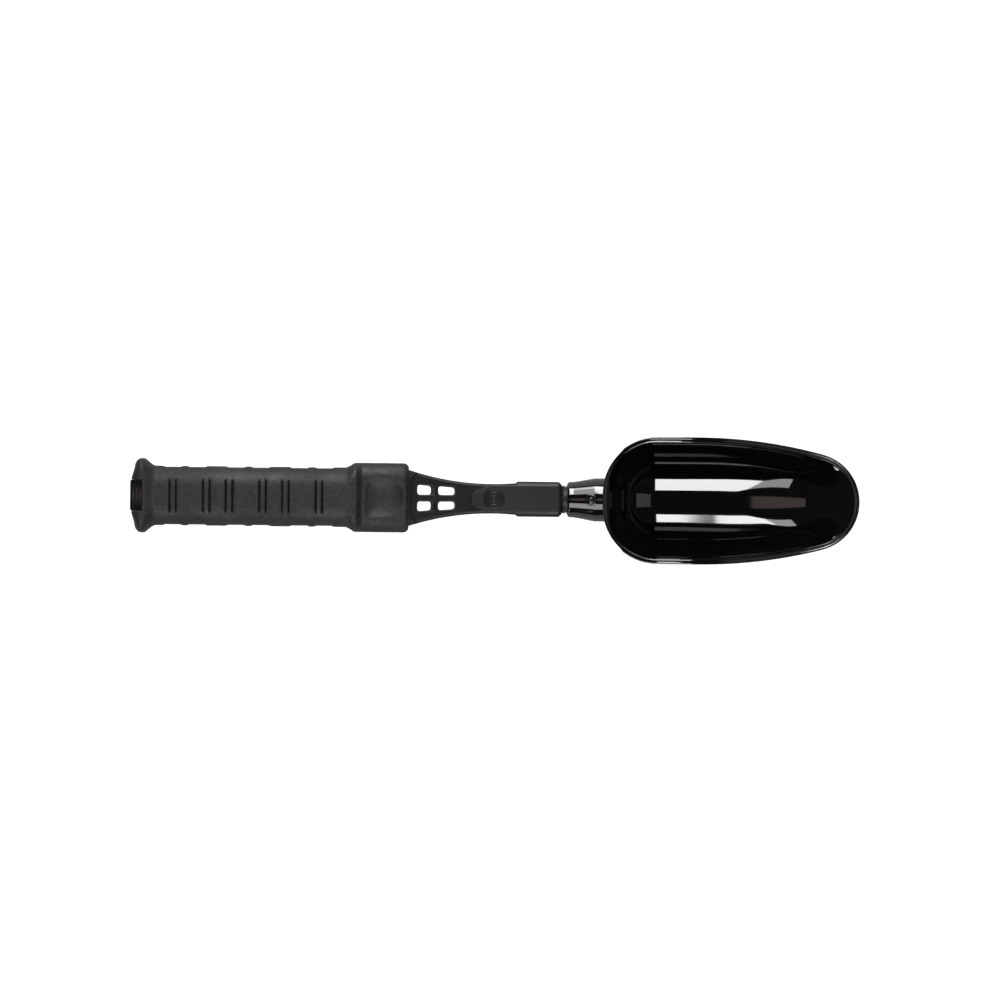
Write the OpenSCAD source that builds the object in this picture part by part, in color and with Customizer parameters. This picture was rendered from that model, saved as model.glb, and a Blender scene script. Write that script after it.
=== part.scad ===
// Bait and sand scoop: a deep trough-shaped bowl that screws onto a short rubber-gripped handle.
// Millimetres. +X runs from the butt of the handle to the tip of the bowl, +Z is up, and the bowl opens
// upwards. The origin is the middle of the length, on the surface that the scoop rests on.

/* [Bowl] */
// Length of the rim, from its back to its tip
bowl_l = 155; // [130:1:190]
// Width across the rim
bowl_w = 76.2; // [68:0.2:92]
// Height of the rim at the back, above the foot
bowl_h = 41; // [37:0.5:50]
// How much lower the rim is at the tip than at the back
tip_drop = 10; // [2:0.5:13]
// Radius of the rounded tip, seen from above
tip_r = 29.5; // [24:0.5:32]
// Corner radius of the back of the rim, seen from above
back_r = 33.7; // [27:0.1:34]
// Wall thickness at the floor
wall_t = 2.4; // [1.8:0.1:3.5]
// Inner radius of the trough's floor
floor_r = 29; // [20:0.5:30]
// Thickness of the wall where it meets the rim
rim_wall_t = 2; // [1.5:0.1:3]
// Overhang of the lip outside the wall
lip_w = 1.3; // [0.8:0.1:2.5]
// Height of the lip
lip_t = 2.6; // [1.8:0.1:4]
// Width of the flat foot under the bowl
foot_w = 17; // [12:0.5:21]

/* [Socket of the bowl] */
// Outer diameter at the mouth
socket_d = 21.4; // [20:0.1:24]
// Outer diameter where the socket runs into the bowl
socket_root_d = 26; // [24:0.5:30]
// Straight length behind the mouth
socket_lead_l = 3.6; // [2:0.2:6]
// Distance from the mouth to the back of the rim
socket_l = 20.5; // [17:0.5:30]

/* [Screw joint] */
// Major diameter of the thread, 3/8 inch BSF
thread_d = 9.525; // [8:0.005:11.5]
// Travel along the axis for each turn
thread_pitch = 1.27; // [1:0.01:1.5]
// Whole turns of engagement
thread_turns = 9; // [6:1:10]
// Radial clearance between the two threads
thread_clearance = 0.06; // [0.02:0.01:0.1]
// Diameter of the collar on the stud
collar_d = 17.3; // [15:0.1:18.4]
// Gap between the nose and the socket, which the washer and the collar fill
joint_gap = 3.1; // [2.4:0.1:5]
// Thickness of the rubber washer
washer_t = 1; // [0.6:0.1:1.6]
// Diameter of the stud's root, inside the socket
root_d = 12.5; // [11.5:0.1:14]
// Length of the stud's root
root_l = 14; // [10:0.5:14.5]

/* [Nose of the handle] */
// Length of the nose
nose_l = 27.3; // [22:0.1:36]
// Width of the nose
nose_w = 20.9; // [20:0.1:24]
// Height of the nose
nose_h = 20; // [19:0.2:23]
// Length of the chamfer round the end of the nose
nose_chamfer = 2; // [0.8:0.1:2.4]
// Outer diameter of the threaded insert
insert_d = 13.4; // [12.6:0.1:14]
// Diameter of the insert's flange
insert_flange_d = 15.4; // [14.6:0.1:16]

/* [Neck] */
// Visible length from the thumb rest to the nose
neck_l = 64.8; // [54:0.01:80]
// Width at the waist
waist_w = 17.8; // [16.5:0.1:19]
// Radius of the waisted sides
neck_r = 160; // [150:5:260]
// Distance from the waist to the nose
waist_to_nose = 14.7; // [10:0.1:18]
// Thickness of the neck, from top to bottom
neck_h = 17; // [15:0.5:18]
// Extra height of the corner gussets at the thumb rest
gusset_t = 1.2; // [0.6:0.1:1.6]
// Length of each window
window_l = 11; // [8:0.1:11.5]
// Width of the windows nearer the thumb rest
window_w = 6; // [4.5:0.1:6.2]
// Rib between two windows
window_rib = 1.6; // [1.4:0.1:3]
// Bridge between the two rows of windows
window_bridge = 4; // [3:0.1:5]
// How much shorter the windows are underneath
window_draft = 3; // [0:0.1:4]
// Diameter of the round badge
badge_d = 12.6; // [10:0.02:15.2]
// Thickness of the badge
badge_t = 2.2; // [1.6:0.1:2.4]

/* [Grip] */
// Length of the sleeve from the butt to the thumb rest
grip_l = 128.9; // [115:0.1:160]
// Width of the sleeve
grip_w = 34.6; // [32:0.2:38]
// Height of the sleeve
grip_h = 31; // [29:0.5:33]
// Corner radius of the sleeve's section
grip_r = 11.5; // [8:0.5:14]
// How far the side bands stand out
band_rise = 0.6; // [0.3:0.1:1]
// Distance between two wide bands
band_pitch = 38.1; // [34:0.1:42]
// Length of a wide band
band_l = 12.6; // [8:0.1:15]
// Length of a narrow band
narrow_band_l = 4; // [2:0.1:6]
// Width of the flared butt
butt_w = 44.6; // [42:0.2:50]
// Height of the flared butt
butt_h = 36.8; // [34:0.2:42]
// Depth of the grooves across the top
groove_depth = 0.9; // [0.5:0.1:1.2]
// Width of the grooves
groove_w = 1.2; // [0.8:0.1:1.6]
// Length of the grooves across the sleeve
groove_l = 19.2; // [14:0.2:21]

/* [Thumb rest] */
// Length of the thumb rest
rest_l = 37.5; // [34:0.1:46]
// Width of the thumb rest
rest_w = 41.6; // [39:0.2:46]
// Height of the thumb rest
rest_h = 36; // [35:0.2:43.2]
// Diameter of the dish for the thumb
dish_d = 24; // [18:0.5:25]
// Depth of the dish
dish_depth = 2.2; // [1:0.1:3]

/* [Core under the rubber] */
// Width of the tang
tang_w = 25; // [23:0.5:26]
// Height of the tang
tang_h = 21; // [19:0.5:22]
// Diameter of the hollow in the tang
hollow_d = 15; // [12:0.5:16]
// Width of the butt plug's head
plug_w = 19; // [16:0.2:21]
// Depth of the notch for the butt plug
plug_l = 6.9; // [5:0.1:8]
// Length of the plug's stem
plug_stem_l = 14; // [10:1:24]

/* [Hidden] */

$fn = 96;
eps = 0.01;       // how far a cut runs past the face it opens
part_gap = 0.05;  // gap round a piece that sits in a pocket

// The scoop rests on its butt, or on its thumb rest where that is higher, and on the foot of the bowl.
axis_z = max(butt_h, rest_h) / 2;

// Stations along the axis, counted from the rubber's butt end
plug_proud = 0.6;
rest_x = grip_l;
neck_x = rest_x + rest_l;
nose_x = neck_x + neck_l;
joint_x = nose_x + nose_l;
collar_x = joint_x + washer_t;
mouth_x = joint_x + joint_gap;
bowl_x = mouth_x + socket_l;
overall_l = plug_proud + bowl_x + bowl_l;
butt_x = plug_proud - overall_l / 2;  // the butt end in the row frame
waist_x = nose_x - waist_to_nose;

// Screw joint
stud_r = thread_d / 2 - thread_clearance;
engaged_l = thread_turns * thread_pitch;
insert_l = engaged_l + 2.5;
insert_flange_t = 1.2;
thread_runout = 3;      // clear depth beyond the insert
collar_seat = 2;        // depth that the collar sits inside the socket
shank_lead = 0.9;       // chamfer at the free end of the stud

// Puts the axis frame (butt end at x = 0, axis at z = 0) in the row frame.
module on_axis() {
    translate([butt_x, 0, axis_z]) children();
}

// A round bar along X that starts at x
module bar(x, d, l) {
    translate([x, 0, 0]) rotate([0, 90, 0]) cylinder(d = d, h = l);
}

// Rounded rectangle: a cross of two rectangles and four corner circles
module rounded_rect(w, h, r) {
    square([w - 2 * r, h], center = true);
    square([w, h - 2 * r], center = true);
    for (sx = [-1, 1], sy = [-1, 1])
        translate([sx * (w / 2 - r), sy * (h / 2 - r)]) circle(r);
}

// A bar along X with a rounded rectangular section
module rounded_bar(x, w, h, r, l) {
    translate([x, 0, 0]) rotate([90, 0, 90]) linear_extrude(l) rounded_rect(w, h, r);
}

// Convex outline of circles of radius r at the given centres, in counter-clockwise order
module rounded_convex(centres, r) {
    n = len(centres);
    polygon([for (i = [0:n - 1]) let (
        a = centres[i],
        b = centres[(i + 1) % n],
        out = r * [b[1] - a[1], a[0] - b[0]] / norm(b - a)) each [a + out, b + out]]);
    for (c = centres) translate(c) circle(r);
}

// Four centres of a body that is mirrored about the axis: half width a at x0, half width b at x1
function mirrored(x0, a, x1, b) = [[x0, -a], [x1, -b], [x1, b], [x0, a]];

// Keeps what lies inside the plan outline (child 0) and the side outline (child 1) of child 2.
module shaped(size) {
    intersection() {
        translate([0, 0, -size / 2]) linear_extrude(size) children(0);
        rotate([90, 0, 0]) translate([0, 0, -size / 2]) linear_extrude(size) children(1);
        children(2);
    }
}

// ---- Bowl -------------------------------------------------------------------------------------
// In the bowl's own frame x = 0 is the back of the rim and z = 0 is the foot.
side_x = 0.38 * bowl_l;              // where the straight sides end
tip_cx = bowl_l - tip_r;             // centre of the tip's arc
side_r = (pow(tip_cx - side_x, 2) + pow(bowl_w / 2, 2) - pow(tip_r, 2)) / (bowl_w - 2 * tip_r);
side_a = atan((tip_cx - side_x) / (side_r - bowl_w / 2));  // turn of the side arc
keel_x0 = back_r;                    // the trough's floor is level between these two
keel_x1 = 0.43 * bowl_l;
level_x = 0.3 * bowl_l;              // the rim is level up to here
tip_steps = 9;
side_steps = 5;
straight_steps = 3;
back_steps = 9;

function smooth(t) = let (u = min(1, max(0, t))) u * u * (3 - 2 * u);
function rim_z(x) = bowl_h - tip_drop * smooth((x - level_x) / (bowl_l - level_x));

// Half of the rim's outline, from the tip to the straight middle of the back, moved inwards by d
function half_outline(d) = concat(
    [for (i = [0:tip_steps]) let (a = (90 - side_a) * i / tip_steps)
        [tip_cx + (tip_r - d) * cos(a), (tip_r - d) * sin(a)]],
    [for (i = [1:side_steps]) let (a = 90 - side_a + side_a * i / side_steps)
        [side_x + (side_r - d) * cos(a), bowl_w / 2 - side_r + (side_r - d) * sin(a)]],
    [for (i = [1:straight_steps])
        [side_x + (back_r - side_x) * i / straight_steps, bowl_w / 2 - d]],
    [for (i = [1:back_steps]) let (a = 90 + 90 * i / back_steps)
        [back_r + (back_r - d) * cos(a), bowl_w / 2 - back_r + (back_r - d) * sin(a)]]);

// Section of the trough: an arc of radius r, then a straight wall that is tangent to it and reaches
// height h at half width w. The first function gives the wall's slope and the second the height at
// half width q.
function wall_slope(r, w, h) = 90 + atan2(h - r, w) - acos(r / norm([w, h - r]));
function section_z(q, r, w, h) = let (slope = wall_slope(r, w, h), q1 = r * sin(slope))
    q < q1 ? r - sqrt(r * r - q * q) : r * (1 - cos(slope)) + (q - q1) * tan(slope);

// One closed ring of the bowl. d moves the outline inwards, s is the share of the way out from the
// keel, z0 the floor, drop the distance below the rim at the top, and g the share of that height.
function ring(d, s, g, z0, drop) = let (
    half = [for (p = half_outline(d)) let (
        keel = min(keel_x1, max(keel_x0, p[0])),
        top = rim_z(p[0]) - drop)
        [keel + s * (p[0] - keel), s * p[1], z0 + (top - z0) * g]])
    concat(half, [for (i = [len(half) - 1:-1:1]) [half[i][0], -half[i][1], half[i][2]]]);

function distinct(f) = [for (i = [0:len(f) - 1]) if (f[i] != f[(i + 1) % len(f)]) f[i]];

// Stacks rings from the lowest to the highest into a solid with a cap at each end.
module ring_stack(rings) {
    n = len(rings[0]);
    top = (len(rings) - 1) * n;
    walls = [for (k = [0:len(rings) - 2], i = [0:n - 1]) let (j = (i + 1) % n)
        [k * n + j, k * n + i, (k + 1) * n + i, (k + 1) * n + j]];
    strips = [for (i = [0:(n - 3) / 2]) [i, i + 1, (n - i - 1) % n, (n - i) % n]];
    lower_cap = [for (f = strips) distinct(f)];
    upper_cap = [for (f = strips) distinct([for (i = [3:-1:0]) top + f[i]])];
    polyhedron(points = [for (r = rings) each r], faces = concat(walls, lower_cap, upper_cap));
}

// Rings of a skin that lies d inside the lip and t above the foot, with an arc of radius r
function skin(steps, d, t, r, top_drop) = let (
    w = bowl_w / 2 - d,
    h = bowl_h - top_drop - t,
    z_at = function (s) section_z(s * w, r, w, h),
    z0 = z_at(steps[0]))
    [for (s = steps) ring(d, s, (z_at(s) - z0) / (h - z0), t, top_drop)];

function reversed(v) = [for (i = [len(v) - 1:-1:0]) v[i]];

// The bowl's wall in one skin: up the outside, over the lip and down the inside
module bowl_wall() {
    outer = [foot_w / 2 / (bowl_w / 2 - lip_w), 0.31, 0.42, 0.54, 0.66, 0.83, 1];
    inner = [0.12, 0.24, 0.36, 0.48, 0.6, 0.8, 1];
    ring_stack(concat(
        skin(outer, lip_w, 0, floor_r + wall_t, lip_t),
        [ring(0, 1, 1, 0, lip_t), ring(0, 1, 1, 0, 0)],
        reversed(skin(inner, lip_w + rim_wall_t, wall_t, floor_r, 0))));
}

// Solid that ends in the middle of the wall. It trims the socket, whose end stays inside the wall.
module wall_middle() {
    steps = [0.2, 0.31, 0.42, 0.54, 0.66, 0.83, 1];
    ring_stack(skin(steps, lip_w + rim_wall_t / 2, wall_t / 2, floor_r + wall_t / 2, lip_t / 2));
}

// The tapered socket, a solid of revolution that runs on into the bowl
module socket_body() {
    chamfer = 1.1;
    mouth_r = socket_d / 2;
    root_r = socket_root_d / 2;
    root_x = keel_x0 + socket_l;
    rotate([90, 0, 90]) rotate_extrude() polygon([
        [0, 0], [mouth_r - chamfer, 0], [mouth_r, chamfer], [mouth_r, socket_lead_l],
        [root_r, taper_end], [root_r, root_x], [0, root_x]]);
}
taper_end = 0.8 * socket_l;

// Low round boss on top of the socket's taper
module socket_boss() {
    boss_d = 7;
    rise = 0.6;
    x = 0.71 * socket_l;
    share = (x - socket_lead_l) / (taper_end - socket_lead_l);
    r = (socket_d + share * (socket_root_d - socket_d)) / 2;
    translate([x, 0, 0]) cylinder(d = boss_d, h = r + rise);
}

module scoop_shell() {
    color([0.03, 0.03, 0.035]) {
        translate([butt_x + bowl_x, 0, 0]) bowl_wall();
        difference() {
            on_axis() translate([mouth_x, 0, 0]) {
                socket_body();
                socket_boss();
            }
            translate([butt_x + bowl_x, 0, 0]) wall_middle();
            on_axis() {
                stud_root(root_x - eps);
                bar(mouth_x - eps, collar_d, collar_seat + eps);
            }
        }
    }
}

// ---- Screw joint ------------------------------------------------------------------------------
root_x = mouth_x + collar_seat;

// The part of the stud that the socket is moulded round, with two retaining grooves. It starts at x.
module stud_root(x) {
    groove_l = 1.6;
    groove_t = 0.6;
    difference() {
        bar(x, root_d, root_x + root_l - x);
        for (i = [1:2]) difference() {
            bar(root_x + i * root_l / 3 - groove_l / 2, root_d + 2, groove_l);
            bar(root_x, root_d - 2 * groove_t, root_l);
        }
    }
}

module thread_stud() {
    shank_x = joint_x - engaged_l;
    bite = 1;                        // how far the shank runs on into the root
    shank_l = root_x + bite - shank_x;
    color([0.62, 0.62, 0.6]) on_axis() {
        translate([shank_x, 0, 0]) rotate([90, 0, 90]) rotate_extrude() polygon([
            [0, 0], [stud_r - shank_lead, 0], [stud_r, shank_lead], [stud_r, shank_l], [0, shank_l]]);
        stud_root(root_x);
    }
}

// Collar that clamps the washer, with a rounded waist between its two edges
module stud_collar() {
    collar_l = root_x - collar_x;
    waist_t = 0.9;
    visible_l = mouth_x - collar_x;
    color([0.16, 0.16, 0.17]) on_axis() difference() {
        bar(collar_x, collar_d, collar_l);
        bar(collar_x - eps, 2 * stud_r, collar_l + 2 * eps);
        difference() {
            bar(collar_x + visible_l / 3, collar_d + 2, visible_l / 3);
            bar(collar_x, collar_d - 2 * waist_t, collar_l);
        }
    }
}

// Rubber washer that keeps the joint tight
module seal_washer() {
    inset = 0.4;
    color([0.06, 0.06, 0.06]) on_axis() difference() {
        bar(joint_x, collar_d - 2 * inset, washer_t);
        bar(joint_x - eps, thread_d, washer_t + 2 * eps);
    }
}

// Outside of the threaded insert, which is also the shape of its pocket
module insert_outside() {
    bar(joint_x - insert_l, insert_d, insert_l);
    bar(joint_x - insert_flange_t, insert_flange_d, insert_flange_t);
}

module nose_insert() {
    color([0.72, 0.56, 0.25]) on_axis() difference() {
        insert_outside();
        bar(joint_x - insert_l - eps, thread_d, insert_l + 2 * eps);
    }
}

// ---- Handle core ------------------------------------------------------------------------------
badge_x = nose_x - 13.5;             // centre of the badge
neck_root_l = 8;                     // length of the neck inside the thumb rest
tang_r = 5;
hollow_end_x = rest_x + 4;
land_r = waist_w / 2 - 0.6;          // half width of the land that carries the badge
tongue_l = 13.8;                     // from the badge's centre to the tip of the land
tongue_r = 4;
nose_r = 4;                          // corner radius of the nose's section

// Half width of the neck at x
function neck_at(x) = waist_w / 2 + neck_r - sqrt(neck_r * neck_r - pow(x - waist_x, 2));

// Waisted outline of the neck, seen from above, with a straight root inside the thumb rest
module neck_outline() {
    half_w = neck_at(neck_x);
    translate([neck_x - neck_root_l, -half_w]) square([neck_root_l + eps, 2 * half_w]);
    difference() {
        translate([neck_x, -half_w]) square([neck_l + nose_l / 2, 2 * half_w]);
        for (s = [-1, 1])
            translate([waist_x, s * (waist_w / 2 + neck_r)]) circle(neck_r, $fn = 256);
    }
}

// Outline of the land: a rounded tongue that widens into the nose
module land_outline() {
    tongue_x = badge_x - tongue_l + tongue_r;
    turn = acos((land_r - tongue_r) / (badge_x - tongue_x));
    translate([badge_x, 0]) circle(land_r);
    translate([tongue_x, 0]) circle(tongue_r);
    polygon([for (c = [[badge_x, land_r, 1], [tongue_x, tongue_r, 1],
                       [tongue_x, tongue_r, -1], [badge_x, land_r, -1]])
        [c[0] - c[1] * cos(turn), c[2] * c[1] * sin(turn)]]);
    translate([badge_x, -land_r]) square([nose_x - badge_x + nose_l / 2, 2 * land_r]);
}

// The land's side view. Its top falls to the neck's own height at the tip of the tongue.
module land_side() {
    step = (nose_h - neck_h) / 2;
    tip_x = badge_x - tongue_l;
    flat_x = badge_x - badge_d / 2;
    end_x = nose_x + nose_l / 2;
    tip_z = neck_h / 2 + step / 4;
    polygon([[tip_x, -tip_z], [flat_x, -nose_h / 2], [end_x, -nose_h / 2],
             [end_x, nose_h / 2], [flat_x, nose_h / 2], [tip_x, tip_z]]);
}

// Corner gussets at the wide end of the neck, left by the rounded end of the sunk panel
module gussets() {
    corner_r = 8;
    panel_x = neck_x + 0.8;
    panel_y = neck_at(panel_x) - corner_r - 0.8;
    h = neck_h + 2 * gusset_t;
    translate([0, 0, -h / 2]) linear_extrude(h) difference() {
        intersection() {
            neck_outline();
            translate([neck_x - neck_root_l, -rest_w / 2]) square([neck_root_l + corner_r + 0.8, rest_w]);
        }
        translate([panel_x, -panel_y]) square([rest_w, 2 * panel_y]);
        for (s = [-1, 1]) translate([panel_x + corner_r, s * panel_y]) circle(corner_r);
    }
}

// One window, seen from above, with rounded corners. It narrows towards the nose.
module window_outline(x, near_w, far_w) {
    r = 1.5;
    inner = window_bridge / 2 + r;
    rounded_convex([[x + r, inner], [x + window_l - r, inner],
                    [x + window_l - r, window_bridge / 2 + far_w - r],
                    [x + r, window_bridge / 2 + near_w - r]], r);
}

// The four windows. The wall nearer the nose slopes, so each window is shorter underneath.
module windows() {
    fall = 0.8;
    first_x = neck_x + 5.1;
    for (side = [0, 1], i = [0, 1]) {
        x = first_x + i * (window_l + window_rib);
        mirror([0, side]) shaped(4 * neck_h) {
            window_outline(x, window_w - i * fall, window_w - (i + 1) * fall);
            polygon([[x - 1, -neck_h / 2 - 1], [x - 1, neck_h / 2 + 1], [x + window_l, neck_h / 2 + 1],
                     [x + window_l, neck_h / 2], [x + window_l - window_draft, -neck_h / 2],
                     [x + window_l - window_draft, -neck_h / 2 - 1]]);
            translate([x - 1, 0, -neck_h]) cube([window_l + 2, 2 * window_w, 2 * neck_h]);
        }
    }
}

// The nose: a rounded block with its end chamfered all round
module nose_body() {
    shaped(3 * nose_w) {
        chamfered_end(nose_w);
        chamfered_end(nose_h);
        rounded_bar(nose_x, nose_w, nose_h, nose_r, nose_l);
    }
}
module chamfered_end(w) {
    inset = nose_chamfer * 0.9;
    polygon([[nose_x - 1, -w / 2], [joint_x - nose_chamfer, -w / 2], [joint_x, inset - w / 2],
             [joint_x, w / 2 - inset], [joint_x - nose_chamfer, w / 2], [nose_x - 1, w / 2]]);
}

// The core without its bores, which is also what the rubber is moulded round
module core_blank() {
    translate([0, 0, -neck_h / 2]) linear_extrude(neck_h) neck_outline();
    rounded_bar(plug_l, tang_w, tang_h, tang_r, neck_x - neck_root_l / 2 - plug_l);
    gussets();
    nose_body();
    shaped(3 * nose_w) {
        land_outline();
        land_side();
        translate([badge_x - 2 * tongue_l, -nose_w, -nose_h])
            cube([2 * tongue_l + nose_x - badge_x + nose_l / 2, 2 * nose_w, 2 * nose_h]);
    }
}

module handle_core() {
    color([0.19, 0.19, 0.2]) on_axis() difference() {
        core_blank();
        windows();
        translate([badge_x, 0, nose_h / 2 - badge_t]) cylinder(d = badge_d + 2 * part_gap, h = badge_t + 1);
        insert_outside();
        bar(joint_x - insert_l - thread_runout, thread_d, thread_runout + 1);
        bar(plug_l - eps, hollow_d, hollow_end_x - plug_l);
    }
}

// Round badge with a plain raised rim and a centre boss
module badge_disc() {
    rim = 1.1;
    sunk = 0.5;
    centre_d = 4.2;
    color([0.13, 0.13, 0.14]) on_axis() translate([badge_x, 0, nose_h / 2 - badge_t]) difference() {
        cylinder(d = badge_d, h = badge_t);
        difference() {
            translate([0, 0, badge_t - sunk]) cylinder(d = badge_d - 2 * rim, h = sunk + 1);
            cylinder(d = centre_d, h = badge_t + 1);
        }
    }
}

// ---- Rubber -----------------------------------------------------------------------------------
flare_r = 5.7;                       // radius of the flare's rolled edge
flare_l = 3.8;                       // length of the flare's flank

// Outline of the flared butt in one view: wide is the flare's size and narrow the sleeve's
module flare_outline(wide, narrow) {
    rounded_convex(mirrored(flare_r, wide / 2 - flare_r, flare_r + flare_l, narrow / 2 - flare_r + 1.3),
                   flare_r);
}

module flare() {
    shaped(3 * butt_w) {
        flare_outline(butt_w, grip_w);
        flare_outline(butt_h, grip_h);
        rounded_bar(0, butt_w, butt_h, 8, 2 * flare_r + flare_l);
    }
}

// Side bands: wide ones, with a narrow one halfway between each two
module bands() {
    first_x = 13.1;
    wide_bands = floor((grip_l - first_x + band_l / 2) / band_pitch) + 1;
    for (i = [0:wide_bands - 1]) {
        band(first_x + i * band_pitch, band_l);
        if (i < wide_bands - 1) band(first_x + (i + 0.5) * band_pitch, narrow_band_l);
    }
}
module band(x, l) {
    h = 0.62 * grip_h;
    rounded_bar(x - l / 2, grip_w + 2 * band_rise, h, h / 3, l);
}

// Pairs of grooves across the top and the underside of the sleeve
module grooves() {
    first_x = 23.1;
    pitch = (grip_l - 27.5) / 3;     // from one pair to the next but one
    for (i = [0:2], k = [0, 1], under = [0, 1]) {
        x = first_x + (i + 0.71 * k) * pitch;
        for (d = [0, k == 0 ? 3.9 : -3.9])
            mirror([0, 0, under]) translate([x + d - groove_w / 2, -groove_l / 2, grip_h / 2 - groove_depth])
                cube([groove_w, groove_l, groove_depth + 1]);
    }
}

// Thumb rest: a block that is wider and higher than the sleeve, ramped towards it at the sides
module rest_block() {
    ramp_l = 5.3;
    top_x = rest_x + 6.5;            // where the block's top begins
    r = 3;
    tall = rest_h / 2 - r;
    shaped(3 * rest_w) {
        rounded_convex([[rest_x + r, r - grip_w / 2], [rest_x + ramp_l, r - rest_w / 2],
                        [neck_x - r, r - rest_w / 2], [neck_x - r, rest_w / 2 - r],
                        [rest_x + ramp_l, rest_w / 2 - r], [rest_x + r, grip_w / 2 - r]], r);
        union() {
            rounded_convex(mirrored(top_x + r, tall, neck_x - r, tall), r);
            translate([rest_x, -grip_h / 2]) square([top_x + 2 * r - rest_x, grip_h]);
        }
        rounded_bar(rest_x, rest_w, rest_h, 9, rest_l);
    }
}

// The thumb's dish: round towards the bowl, straight towards the butt
module dish() {
    ball_r = (pow(dish_d / 2, 2) + pow(dish_depth, 2)) / (2 * dish_depth);
    x = neck_x - 2.4 - dish_d / 2;
    straight_x = x - 0.9 * dish_d / 2;
    intersection() {
        translate([x, 0, rest_h / 2 - dish_depth + ball_r]) sphere(ball_r);
        translate([straight_x, -dish_d, 0]) cube([2 * dish_d, 2 * dish_d, rest_h]);
    }
}

module grip_sleeve() {
    color([0.24, 0.24, 0.25]) on_axis() difference() {
        union() {
            rounded_bar(flare_r, grip_w, grip_h, grip_r, rest_x + rest_l / 2 - flare_r);
            flare();
            bands();
            rest_block();
        }
        core_blank();
        dish();
        grooves();
        // notch for the butt plug, open above and below
        translate([-1, -plug_w / 2 - part_gap, -butt_h]) cube([plug_l + 1, plug_w + 2 * part_gap, 2 * butt_h]);
    }
}

// ---- Butt plug --------------------------------------------------------------------------------
module butt_plug() {
    h = grip_h - 4;
    r = 2.2;
    color([0.05, 0.05, 0.05]) on_axis() {
        shaped(2 * h) {
            rounded_convex(mirrored(r - plug_proud, plug_w / 2 - r, plug_l + r, plug_w / 2 - r), r);
            rounded_convex(mirrored(r - plug_proud, h / 2 - r, plug_l + r, h / 2 - r), r);
            translate([-plug_proud - 1, -plug_w, -h]) cube([plug_l + plug_proud + 1, 2 * plug_w, 2 * h]);
        }
        bar(plug_l - eps, hollow_d - 2 * part_gap, plug_stem_l);
    }
}

scoop_shell();
thread_stud();
stud_collar();
seal_washer();
nose_insert();
handle_core();
badge_disc();
grip_sleeve();
butt_plug();
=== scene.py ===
import bpy, bmesh, math
from mathutils import Vector, Matrix


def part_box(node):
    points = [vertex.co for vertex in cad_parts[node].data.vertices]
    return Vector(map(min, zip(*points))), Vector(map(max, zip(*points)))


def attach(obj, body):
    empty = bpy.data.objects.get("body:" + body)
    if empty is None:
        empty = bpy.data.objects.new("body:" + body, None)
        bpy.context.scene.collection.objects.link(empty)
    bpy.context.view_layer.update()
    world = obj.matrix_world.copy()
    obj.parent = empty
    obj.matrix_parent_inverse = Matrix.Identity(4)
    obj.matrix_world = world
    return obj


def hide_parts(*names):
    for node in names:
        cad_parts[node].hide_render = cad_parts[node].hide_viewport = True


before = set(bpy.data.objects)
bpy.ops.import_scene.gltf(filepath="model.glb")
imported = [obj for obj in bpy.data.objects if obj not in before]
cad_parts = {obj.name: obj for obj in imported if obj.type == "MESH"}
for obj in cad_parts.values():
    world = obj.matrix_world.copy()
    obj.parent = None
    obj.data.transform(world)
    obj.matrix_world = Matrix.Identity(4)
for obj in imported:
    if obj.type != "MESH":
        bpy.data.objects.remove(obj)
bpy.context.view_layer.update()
mm = 0.001


# the sizes all the pieces share come from the CAD boxes
def low(node):
    return Vector(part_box(node)[0])


def high(node):
    return Vector(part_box(node)[1])


buttX = low("grip_sleeve").x
restEndX = high("grip_sleeve").x
jointX = high("nose_insert").x
mouthX = low("scoop_shell").x
tipX = high("scoop_shell").x
rimZ = high("scoop_shell").z
axisZ = (low("nose_insert").z + high("nose_insert").z) / 2
bowlHalf = high("scoop_shell").y


# short forms of the edit mode steps that all the pieces use
def deselectAll():
    if bpy.context.object and bpy.context.object.mode != "OBJECT":
        bpy.ops.object.mode_set(mode="OBJECT")
    bpy.ops.object.select_all(action="DESELECT")


def startEdit(name):
    # the primitive just added becomes the piece, with its place in the mesh
    piece = bpy.context.active_object
    piece.name = name
    piece.data.name = name
    bpy.ops.object.transform_apply(location=True, rotation=True, scale=True)
    bpy.ops.object.mode_set(mode="EDIT")
    bpy.ops.mesh.select_mode(type="VERT")
    return piece


def pick(test, kind="VERT", add=False):
    mesh = bmesh.from_edit_mesh(bpy.context.edit_object.data)
    bpy.ops.mesh.select_mode(type=kind)
    if not add:
        bpy.ops.mesh.select_all(action="DESELECT")
    found = 0
    for item in {"VERT": mesh.verts, "EDGE": mesh.edges, "FACE": mesh.faces}[kind]:
        if test(item):
            item.select_set(True)
            found += 1
    mesh.select_flush_mode()
    bmesh.update_edit_mesh(bpy.context.edit_object.data)
    return found


def move(x=0, y=0, z=0):
    bpy.ops.transform.translate(value=(x, y, z))


def extrudeEdges(x=0, y=0, z=0):
    bpy.ops.mesh.extrude_edges_move(TRANSFORM_OT_translate={"value": (x, y, z)})


def extrudePoint(x, z):
    bpy.ops.mesh.extrude_vertices_move(TRANSFORM_OT_translate={"value": (x, 0, z)})


def mergeDoubles():
    bpy.ops.mesh.select_all(action="SELECT")
    bpy.ops.mesh.remove_doubles(threshold=0.01 * mm)


def facesOut():
    bpy.ops.mesh.select_all(action="SELECT")
    bpy.ops.mesh.normals_make_consistent(inside=False)


def addModifier(piece, kind, **values):
    deselectAll()
    bpy.context.view_layer.objects.active = piece
    piece.select_set(True)
    modifier = piece.modifiers.new(kind.title(), kind)
    for key, value in values.items():
        setattr(modifier, key, value)
    bpy.ops.object.modifier_apply(modifier=modifier.name)


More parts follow.
